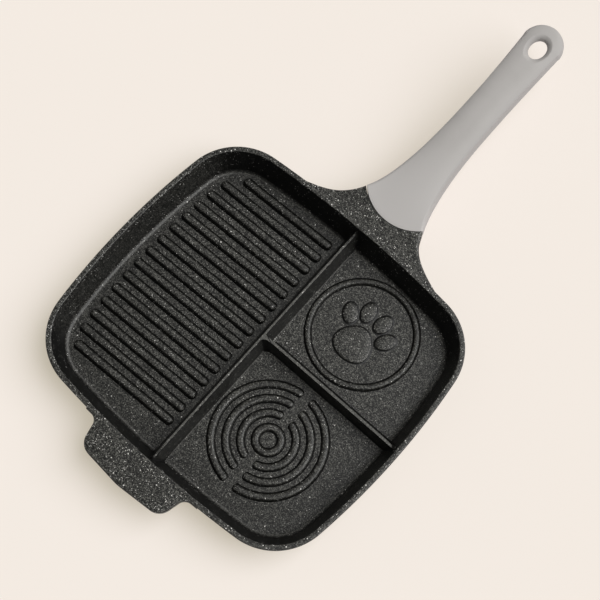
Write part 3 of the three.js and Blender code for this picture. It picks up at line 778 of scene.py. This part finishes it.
# rings about one centre, each whole or split in two arcs
def ringSet(size, along, around, row):
    ring = (row / size["Arcs Each"] + 0.001).op("FLOOR")
    arc = row - ring * size["Arcs Each"]
    isSplit = size["Arcs Each"].op("GREATER_THAN", 1.5)
    radius = size["First Radius"] + ring * size["Pitch"]
    share = along + (crowdEnds(along) - along) * isSplit
    span = (size["Split"] / radius * -1 + pi) * isSplit + (isSplit * -1 + 1) * (2 * pi)
    angle = arc * pi + (share - 0.5) * span
    reach = share.op("MINIMUM", share * -1 + 1) * span * radius
    taper = endTaper(reach, size["Width"]).op("MAXIMUM", isSplit * -1 + 1)
    sideways, z = ridgeSection(size, around, taper)
    reach = radius + sideways
    return size["Centre X"] + reach * angle.op("COSINE"), size["Centre Y"] + reach * angle.op("SINE"), z


ribShape = {
    "count": 15, "pitch": 11.975, "middleY": 4.45,
    "turn": 2.0, "turnX": -54.0, "leftX": -98.0,
    "width": 5.6, "height": 3.0,
    "wallGap": 6.7, "dividerGap": 4.0,
}


def makeGrillRibs():
    r = ribShape
    inset = floorInset + r["wallGap"]
    growRidges("grill_ribs", r["count"], ribRows, {
        "Row Turn": tan(radians(r["turn"])), "Right Lean": dividerLean,
    }, {
        "First Row": r["middleY"] - r["pitch"] * (r["count"] - 1) / 2, "Pitch": r["pitch"],
        "Turn X": r["turnX"], "Left X": r["leftX"],
        "Right End": dividerShape["mainX"] - dividerShape["mainFoot"] / 2 - r["dividerGap"],
        "Side Radius": sideRadius - inset, "Side Centre": sideCentre[0],
        "Corner Radius": panShape["corner"] - inset,
        "Corner X": cornerCentre[0], "Corner Y": cornerCentre[1],
        "Width": r["width"], "Height": r["height"], "Floor": floorLevel,
    })


makeGrillRibs()
print("grill ribs made")

ringShape = {
    "count": 4, "innerRadius": 8.9, "pitch": 10.2, "split": 6.4,
    "width": 4.6, "height": 1.6,
    "motifRadius": 38.4, "motifWidth": 3.8,
    "dividerGap": 3.0, "crossGap": 5.8,
}
besideMain = dividerShape["mainX"] + dividerShape["mainFoot"] / 2 + ringShape["dividerGap"]
ringOutside = ringShape["innerRadius"] + (ringShape["count"] - 1) * ringShape["pitch"] + ringShape["width"] / 2
motifOutside = ringShape["motifRadius"] + ringShape["motifWidth"] / 2
crossHalf = dividerShape["crossFoot"] / 2 + ringShape["crossGap"]
ringCentre = (besideMain + ringOutside, dividerShape["crossY"] - crossHalf - ringOutside)
motifCentre = (besideMain + motifOutside, dividerShape["crossY"] + crossHalf + motifOutside)


def makeRings():
    r = ringShape
    sets = (
        ("split_rings", 2 * (r["count"] - 1), 2.0, r["innerRadius"] + r["pitch"], ringCentre, r["width"]),
        ("inner_ring", 1, 1.0, r["innerRadius"], ringCentre, r["width"]),
        ("motif_ring", 1, 1.0, r["motifRadius"], motifCentre, r["motifWidth"]),
    )
    for name, arcs, each, radius, centre, width in sets:
        growRidges(name, arcs, ringSet, {"Arcs Each": each}, {
            "First Radius": radius, "Pitch": r["pitch"], "Split": r["split"],
            "Centre X": centre[0], "Centre Y": centre[1],
            "Width": width, "Height": r["height"], "Floor": floorLevel,
        })


makeRings()
print("rings made")

# paw print in the motif ring: low cushions with steep edges
pawShape = {
    "padWidth": 33.0, "padLength": 26.0, "padDrop": 9.0, "pinch": 0.35,
    "toeWidth": 10.5, "toeLength": 15.0, "toeReach": 18.5, "toeRowLift": 6.5,
    "toeSpreads": (-62, -21, 21, 62), "toeTilt": 0.55,
    "height": 1.3, "footLift": 0.04, "edgeCurve": 1.6, "topCurve": 0.55,
    "points": 72, "levels": 14,
}


def pawCushion(x, y, width, length, tilt, pinch):
    p = pawShape
    angle = ringAngles(p["points"])
    draw = 1 - pinch * (0.5 + 0.5 * np.sin(angle))
    edge = np.stack([draw * np.cos(angle) * width / 2, np.sin(angle) * length / 2], 1)
    turn = np.array([[cos(tilt), -sin(tilt)], [sin(tilt), cos(tilt)]])
    edge = edge @ turn.T
    # the foot ring spreads by the same skirt, painted dark as shade
    foot = 1 + 2 * ridgeShape["shadeSkirt"] / min(width, length)
    lift = p["footLift"]
    rings = [atHeight(edge * foot + (x, y), floorLevel + z) for z in (-ridgeShape["sink"], lift)]
    rings.append(atHeight(edge * (foot + 1) / 2 + (x, y), floorLevel + 2 * lift))
    for step in range(1, p["levels"]):
        quarter = pi / 2 * step / p["levels"]
        scale = 1 - (1 - cos(quarter)) ** p["edgeCurve"]
        z = floorLevel + p["height"] * sin(quarter) ** p["topCurve"]
        rings.append(atHeight(edge * scale + (x, y), z))
    return skin(rings)


def makePaw():
    p = pawShape
    x, y = motifCentre[0], motifCentre[1] - p["padDrop"]
    pads = [pawCushion(x, y, p["padWidth"], p["padLength"], 0, p["pinch"])]
    for spread in p["toeSpreads"]:
        turn = radians(-spread)
        toeX = x - p["toeReach"] * sin(turn)
        toeY = y + p["toeRowLift"] + p["toeReach"] * cos(turn)
        tilt = turn * p["toeTilt"]
        pads.append(pawCushion(toeX, toeY, p["toeWidth"], p["toeLength"], tilt, 0))
    castPiece("paw_pads", joinParts(pads), ridgeCoating, sharpAngle=60)


makePaw()
print("paw pads made")

# helper tab, level with the lip
tabShape = {
    "offset": -3.0, "reach": 19.97, "bow": 3.0, "thickness": 5.5,
    "rootWidth": 81.8, "tipWidth": 72.5,
    "corner": 11.0, "rootRadius": 7.0, "tipRadius": 40.0, "edgeRound": 1.2,
    "ear": 3.0, "earLift": 0.9, "underLip": 2.6,
    "tuck": 0.02, "rootGap": 0.05,
    "cornerSteps": 24, "edgePoints": 240, "edgeSteps": 7,
}


# a path moved to its right, and one with its points at even steps
def insetPath(path, distance):
    ahead = np.gradient(path, axis=0)
    normal = np.stack([ahead[:, 1], -ahead[:, 0]], 1)
    return path + normal / np.linalg.norm(normal, axis=1)[:, None] * distance


def evenPath(path, count):
    along = np.concatenate([[0], np.cumsum(np.linalg.norm(np.diff(path, axis=0), axis=1))])
    at = np.linspace(0, along[-1], count)
    return np.stack([np.interp(at, along, path[:, k]) for k in (0, 1)], 1)


def makeHelperTab():
    t = tabShape
    rootY = -halfLength
    earX = t["rootWidth"] / 2 + t["rootRadius"] + t["ear"]
    half = [
        (earX, rootY + t["earLift"]),
        (t["rootWidth"] / 2, rootY + t["earLift"] / 2, t["rootRadius"]),
        (t["tipWidth"] / 2, rootY - t["reach"], t["corner"]),
    ]
    mirrored = [(-x, y, *rest) for x, y, *rest in half[::-1]]
    corners = [*half, (0, rootY - t["reach"] - t["bow"], t["tipRadius"]), *mirrored]
    path = roundPath([(x + t["offset"], y, *rest) for x, y, *rest in corners], t["cornerSteps"])
    edge = evenPath(path, t["edgePoints"])
    innerX = edge[0, 0] + (edge[-1, 0] - edge[0, 0]) * np.linspace(0, 1, len(edge))
    inner = np.stack([innerX, np.full(len(edge), rootY + t["underLip"])], 1)
    top = panHeight - t["tuck"]
    r = t["edgeRound"]
    turns = np.linspace(0, pi / 2, t["edgeSteps"])
    steps = [(r * (1 - sin(turn)), top - t["thickness"] + r * (1 - cos(turn))) for turn in turns]
    steps += [(r * (1 - cos(turn)), top - r * (1 - sin(turn))) for turn in turns]
    rings = []
    for inset, z in steps:
        outer = insetPath(edge, inset)
        outer[:, 1] = np.minimum(outer[:, 1], inner[0, 1] - t["rootGap"])
        rings.append(atHeight(np.concatenate([outer, inner[::-1]]), z))
    castPiece("helper_tab", skin(rings, "across"), coating)


makeHelperTab()
print("helper tab made")

# handle: neck and grip share one flare, by distance u along the handle from the neck's bend
handleShape = {
    "offset": 8.0, "rise": 7.0,
    "bend": 5.8, "bendLength": 7.0,
    "neckReach": 18.6, "neckFlare": 27.6, "neckWaist": 0.3, "neckSway": 0.8,
    "rootSpread": 17.5, "rootLength": 5.5, "rootTuck": 0.02,
    "jointWidth": 52.0, "jointBulge": 11.2,
    "gripLength": 176.39, "waist": 28.9, "tailSwell": 3.6,
    "flare": 31.4, "flarePower": 1.2,
    "gripDrift": 0.2, "driftLength": 60.0,
    "thickness": 16.0, "tailThickness": 8.0, "belly": 6.0,
    "topRound": 2.4, "gripRound": 1.6, "bottomRound": 4.0, "frontRound": 0.4,
    "roundness": 2.5, "crownDrop": 0.19, "tipThinning": 0.35,
    "parting": 9.0, "clearance": 0.45,
    "neckRings": 40, "neckCrowd": 1.5,
    "gripRings": 110, "frontRings": 5, "frontFade": 0.3,
    "tipRings": 26, "tipSweep": 0.49,
}
h = handleShape
rise = radians(h["rise"])
bendY = halfLength + h["bend"]
jointU = h["neckReach"]
jointApex = jointU - h["jointBulge"]
jointRadius = bowRadius(h["jointWidth"] / 2, h["jointBulge"])
jointCentre = jointApex + jointRadius
gripTip = jointU + h["gripLength"]


def handleHalf(u):
    past, before = np.maximum(0, u - jointU), np.minimum(0, u - jointU)
    fall = (past / h["flare"]) ** h["flarePower"] + before / h["neckFlare"]
    flare = (h["jointWidth"] - h["waist"]) / 2 * np.exp(-fall)
    return h["waist"] / 2 + flare + h["tailSwell"] / 2 * (past / h["gripLength"]) ** 2


def gripThickness(u):
    share = min(1.0, max(0.0, (u - jointU) / h["gripLength"]))
    taper = h["thickness"] + (h["tailThickness"] - h["thickness"]) * share
    return taper + h["belly"] * 4 * share * (1 - share)


def gripTop(thickness):
    return (thickness / h["thickness"] - 1) * h["parting"]


# handle places (x, u, w) in the pan's frame
def toPan(points):
    x, u, w = np.asarray(points, float).T
    drift = h["gripDrift"] * np.clip((u - jointU) / h["driftLength"], 0, 1)
    return np.stack([
        x + h["offset"] - drift,
        bendY + u * cos(rise) - w * sin(rise),
        panHeight + u * sin(rise) + w * cos(rise),
    ], 1)


def jointArc(x, radius):
    return jointCentre - np.sqrt(radius ** 2 - np.minimum(np.abs(x), radius) ** 2)


# neck: top level with the lip, then bent up to the handle's rise
def neckTop(y):
    past, reach = y - bendY, h["bendLength"]
    slope = tan(rise)
    curve = slope * (past + reach) ** 2 / (4 * reach)
    return panHeight + np.where(past <= -reach, 0, np.where(past >= reach, past * slope, curve))


def neckTilt(y):
    share = np.clip((y - bendY + h["bendLength"]) / (2 * h["bendLength"]), 0, 1)
    return np.arctan(tan(rise) * share)


# a rounded bar's section, as (x, w): over the top from left to right, and back below
def roundedBar(half, thickness, topRound, bottomRound, flatSteps=44):
    turn = np.linspace(0, pi / 2, roundSteps + 1)
    flat = np.linspace(-1, 1, flatSteps + 1)[1:-1]

    def edge(radius, base, sign):
        left = np.stack([-half + radius * (1 - np.cos(turn)), base - sign * radius * (1 - np.sin(turn))], 1)
        middle = np.stack([flat * (half - radius), np.full_like(flat, base)], 1)
        right = left[::-1] * (-1, 1)
        return np.concatenate([left, middle, right])

    top = edge(topRound, 0, 1)
    bottom = edge(bottomRound, -thickness, -1)
    return np.concatenate([top, bottom[::-1]])


def makeNeck():
    startY = halfLength - panShape["lip"] / 2
    endY = bendY + jointU * cos(rise)
    rings = []
    for v in np.linspace(0, 1, h["neckRings"]) ** h["neckCrowd"]:
        edgeY = startY + (endY - startY) * v
        middle = sin(pi * v) ** 2
        root = h["rootSpread"] * exp((halfLength - edgeY) / h["rootLength"])
        half = handleHalf((edgeY - bendY) / cos(rise)) + root - h["neckWaist"] * middle
        offset = h["offset"] - h["neckSway"] * middle
        topRound = h["topRound"] + (h["gripRound"] - h["topRound"]) * v
        x, w = roundedBar(half, h["thickness"], topRound, h["bottomRound"]).T
        z = np.clip(panHeight + w, 0, panHeight)
        wallMiddle = np.where(z > lipUnder, panShape["lip"] / 2, innerInset(z) - panShape["wall"] / 2)
        rootY = endCentre[1] + np.sqrt((endRadius - wallMiddle) ** 2 - (x + offset) ** 2)
        arc = jointArc(x / half * h["jointWidth"] / 2, jointRadius + h["clearance"])
        arcY = bendY + arc * cos(rise)
        topY = edgeY + (1 - v) ** 2 * (rootY - startY) + v ** 2 * (arcY - endY)
        tilt = neckTilt(topY)
        level = neckTop(topY) - h["rootTuck"] * (1 - v)
        rings.append(np.stack([x + offset, topY - w * np.sin(tilt), level + w * np.cos(tilt)], 1))
    castPiece("neck", skin(rings, "across"), coating, sharpAngle=50)


makeNeck()
print("neck made")

# grip: a lofted blank with a flared hang hole, split at the parting plane into two shells
holeShape = {
    "setback": 20.2, "width": 12.0, "length": 16.0,
    "flare": 4.4, "flareCurve": 3.0, "overrun": 0.1,
    "points": 80, "levels": 28,
}
screwShape = {
    "places": (22.0, 52.0, 100.0),
    "names": ("tang_screw_front", "tang_screw_rear", "tail_screw"),
    "headRadius": 4.0, "headHeight": 2.4, "headSink": 0.5,
    "shankRadius": 2.0, "shankLength": 10.0,
    "socket": 1.6, "socketDepth": 1.3,
    "wellRadius": 4.7, "wellDepth": 4.3, "wellRound": 0.6, "wellStart": 3.0,
    "points": 48,
}
screwPlaces = [jointU + place for place in screwShape["places"]]


# a ring that is a rounded bar at the joint and an oval at the waist
def gripRing(u, half, thickness, shrink=0.0, arc=0.0, forward=0.0):
    middle = gripTop(thickness) - thickness / 2
    boxy = min(1.0, exp((jointU - u) / h["flare"]))
    high = thickness / 2 - shrink
    wide = half - shrink
    x, w = roundedBar(wide, 2 * high, h["gripRound"], h["bottomRound"], flatSteps=40).T
    w = w + high
    reach = np.abs(x / wide) ** h["roundness"] + np.abs(w / high) ** h["roundness"]
    scale = reach ** (-1 / h["roundness"]) * (1 - boxy) + boxy
    x, w = x * scale, w * scale
    w = middle + np.where(w > 0, w * (1 - h["crownDrop"] * (1 - boxy)), w)
    return np.stack([x, u + forward + arc * (jointArc(x, jointRadius) - jointU), w], 1)


def gripBlank():
    rings = []
    r, start = h["frontRound"], jointU
    for turn in np.linspace(0, pi / 2, h["frontRings"])[:-1]:
        inset, forward = r * (1 - sin(turn)), r * (1 - cos(turn))
        rings.append(gripRing(start, handleHalf(start), gripThickness(start), inset, 1.0, forward))
    tipRadius = handleHalf(gripTip)
    tipCentre = gripTip - tipRadius
    for share in np.linspace(0, 1, h["gripRings"]):
        u = start + r + (tipCentre - start - r) * share
        rings.append(gripRing(u, handleHalf(u), gripThickness(u), 0, max(0.0, 1 - share / h["frontFade"]) ** 2))
    for turn in np.linspace(0, h["tipSweep"] * pi, h["tipRings"])[1:]:
        u = tipCentre + tipRadius * sin(turn)
        thin = cos(turn) ** h["tipThinning"]
        rings.append(gripRing(u, tipRadius * cos(turn), gripThickness(u) * thin))
    return skin([toPan(ring) for ring in rings], "across")


# each ring of the hole follows the grip's own top and bottom
def hangHole():
    at = gripTip - holeShape["setback"]
    turn = ringAngles(holeShape["points"])
    rings = []
    for share in np.linspace(-1, 1, holeShape["levels"] + 1):
        flare = holeShape["flare"] * abs(share) ** holeShape["flareCurve"]
        x = (holeShape["width"] / 2 + flare) * np.cos(turn)
        u = at + (holeShape["length"] / 2 + flare) * np.sin(turn)
        depth = np.array([gripThickness(v) for v in u])
        crown = 1 - h["crownDrop"] if share > 0 else 1
        w = gripTop(depth) - depth / 2 + share * (depth / 2 * crown + holeShape["overrun"])
        rings.append(toPan(np.stack([x, u, w], 1)))
    return skin(rings)


# a ring about the handle's own vertical
def roundRing(turn, radius, w, u=0.0):
    return np.stack([radius * np.cos(turn), u + radius * np.sin(turn), np.full_like(turn, w)], 1)


# keeps the side of a plane square to the handle that way points to, and closes the cut
def splitGrip(obj, level, way):
    at = Vector(toPan([(0, 0, level)])[0]) * mm
    normal = Vector(toPan([(0, 0, 1)])[0] - toPan([(0, 0, 0)])[0]) * way
    bm = bmesh.new()
    bm.from_mesh(obj.data)
    everything = bm.verts[:] + bm.edges[:] + bm.faces[:]
    cut = bmesh.ops.bisect_plane(bm, geom=everything, dist=1e-7, plane_co=at, plane_no=normal, clear_inner=True)
    edges = [e for e in cut["geom_cut"] if isinstance(e, bmesh.types.BMEdge)]
    bmesh.ops.triangle_fill(bm, use_beauty=True, edges=edges)
    bm.to_mesh(obj.data)
    bm.free()


def underside(u):
    thickness = gripThickness(u)
    return gripTop(thickness) - thickness


# a screw's well, open below, with a rounded edge
def screwWell(u):
    r, c, low = screwShape["wellRadius"], screwShape["wellRound"], underside(u)
    profile = ((r + c, -screwShape["wellStart"]), (r + c, -0.1), (r + c * 0.3, c * 0.4), (r, c * 1.2),
               (r, screwShape["wellDepth"]))
    turn = ringAngles(screwShape["points"])
    return skin([toPan(roundRing(turn, radius, low + w, u)) for radius, w in profile])


def makeGrip():
    half = h["clearance"] / 2
    for name, way in (("grip_upper_shell", 1), ("grip_lower_shell", -1)):
        shell = newObject(name + "_skin", *gripBlank())
        cleanMesh(shell.data)
        cutWith(shell, *hangHole())
        if way < 0:
            cutWith(shell, *joinParts([screwWell(u) for u in screwPlaces]))
        splitGrip(shell, -h["parting"] + way * half, way)
        dress(shell, gripFinish, "grip_soft_touch", name, sharpAngle=35)


makeGrip()
print("grip shells made")


# screws: one socket-head form set at three places by geometry nodes
def screwForm():
    s = screwShape
    turn = ringAngles(s["points"])
    hexagon = cos(pi / 6) / np.cos((turn % (pi / 3)) - pi / 6)
    socket, head, shank, seat = s["socket"], s["headRadius"], s["shankRadius"], s["headHeight"]
    floor, tip = s["socketDepth"], seat + s["shankLength"]
    sixSided = ((socket * 0.2, floor), (socket, floor - 0.15), (socket, 0.25), (socket + 0.2, 0.02))
    circular = ((head * 0.62, 0), (head * 0.82, 0.18), (head * 0.95, 0.6), (head, 1.15), (head, seat - 0.15),
                (head - 0.15, seat), (shank + 0.2, seat), (shank, seat + 0.3), (shank, tip - 1),
                (shank * 0.5, tip))
    rings = [roundRing(turn, radius * hexagon, z) for radius, z in sixSided]
    return skin(rings + [roundRing(turn, radius, z) for radius, z in circular])


def screwSetTree():
    tree, inputs = newTree("screw set", [("Screw", "Object"), ("Tilt", "Float")])
    form = addNode(tree, "GeometryNodeObjectInfo", {"Object": inputs["Screw"]}).outputs["Geometry"]
    turn = addField(tree, "ShaderNodeCombineXYZ", {"X": inputs["Tilt"]})
    finishTree(tree, addCopies(tree, Points=inputs["Geometry"], Instance=form, Rotation=turn), screwSteel)
    return tree


def makeScrews():
    form = newObject("screw_form", *screwForm())
    cleanMesh(form.data)
    seats = [(0, u, underside(u) + screwShape["headSink"]) for u in screwPlaces]
    screws = newObject("handle_screws", toPan(seats), [])
    runTree(screws, screwSetTree(), {"Screw": form, "Tilt": rise})
    bpy.data.objects.remove(form)
    dress(screws, screwSteel, "screw_steel", *screwShape["names"])


makeScrews()
for spot in ("front", "rear", "tail"):
    for node, finish in ((spot + "_lock_washer", washerSteel), (spot + "_insert", insertBrass)):
        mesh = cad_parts[node].data
        mesh.materials.clear()
        mesh.materials.append(finish)
print("screws made")

# floor and lights
stageLook = {
    "paper": (0.915, 0.861, 0.905),
    "paperShade": (0.9, 0.847, 0.891),
    "shadow": (0.915, 0.826, 0.655),
    "cloudScale": 3.0, "fibreScale": 900, "mottle": (0.8, 0.2), "mottleFade": (0.25, 0.75),
    "size": 14000.0, "drop": 0.4, "roughness": 0.9, "glow": 0.52,
    "sky": (1.0, 0.985, 0.965),
    "skyStrength": 0.16,
    "keyFrom": (0.75, 0.66), "keyHeight": 52.0,
    "keyStrength": 3.27, "keySoftness": 62.0,
}


def makeFloor():
    look = stageLook
    material, tree, shader, coords = newMaterial("floor_paper")
    clouds = addNoise(tree, coords, look["cloudScale"], detail=2.0)
    fibres = addNoise(tree, coords, look["fibreScale"])
    colour = mixColours(tree, mottled(look, clouds, fibres), look["paperShade"], look["paper"])
    tree.links.new(colour, shader.inputs["Base Color"])
    shader.inputs["Roughness"].default_value = look["roughness"]
    shader.inputs["Specular IOR Level"].default_value = 0.0
    # a share of even light keeps the shadows light and warm
    glow = addField(tree, "ShaderNodeEmission", {"Color": (*look["shadow"], 1)})
    path = addNode(tree, "ShaderNodeLightPath").outputs
    seen = Field(tree, path["Is Camera Ray"])
    for name in ("Is Glossy Ray", "Is Transmission Ray"):
        seen = seen.op("MAXIMUM", path[name])
    parts = {0: seen * look["glow"], 1: shader.outputs["BSDF"], 2: glow}
    mix = addField(tree, "ShaderNodeMixShader", parts)
    tree.links.new(mix.socket, tree.nodes["Material Output"].inputs["Surface"])
    half = look["size"] / 2
    corners = [(-half, -half), (half, -half), (half, half), (-half, half)]
    floor = newObject("floor", [(x, y, -look["drop"]) for x, y in corners], [(0, 1, 2, 3)])
    floor.data.materials.append(material)


def makeLight():
    look = stageLook
    world = bpy.data.worlds.new("studio")
    world.use_nodes = True
    background = world.node_tree.nodes["Background"]
    background.inputs["Color"].default_value = (*look["sky"], 1)
    background.inputs["Strength"].default_value = look["skyStrength"]
    scene.world = world
    data = bpy.data.lights.new("key", "SUN")
    data.energy = look["keyStrength"]
    data.angle = radians(look["keySoftness"])
    key = bpy.data.objects.new("key", data)
    level = radians(look["keyHeight"])
    fromX, fromY = look["keyFrom"]
    towards = Vector((fromX * cos(level), fromY * cos(level), sin(level)))
    key.rotation_euler = towards.to_track_quat("Z", "Y").to_euler()
    scene.collection.objects.link(key)


makeFloor()
makeLight()
print("floor and lights made")
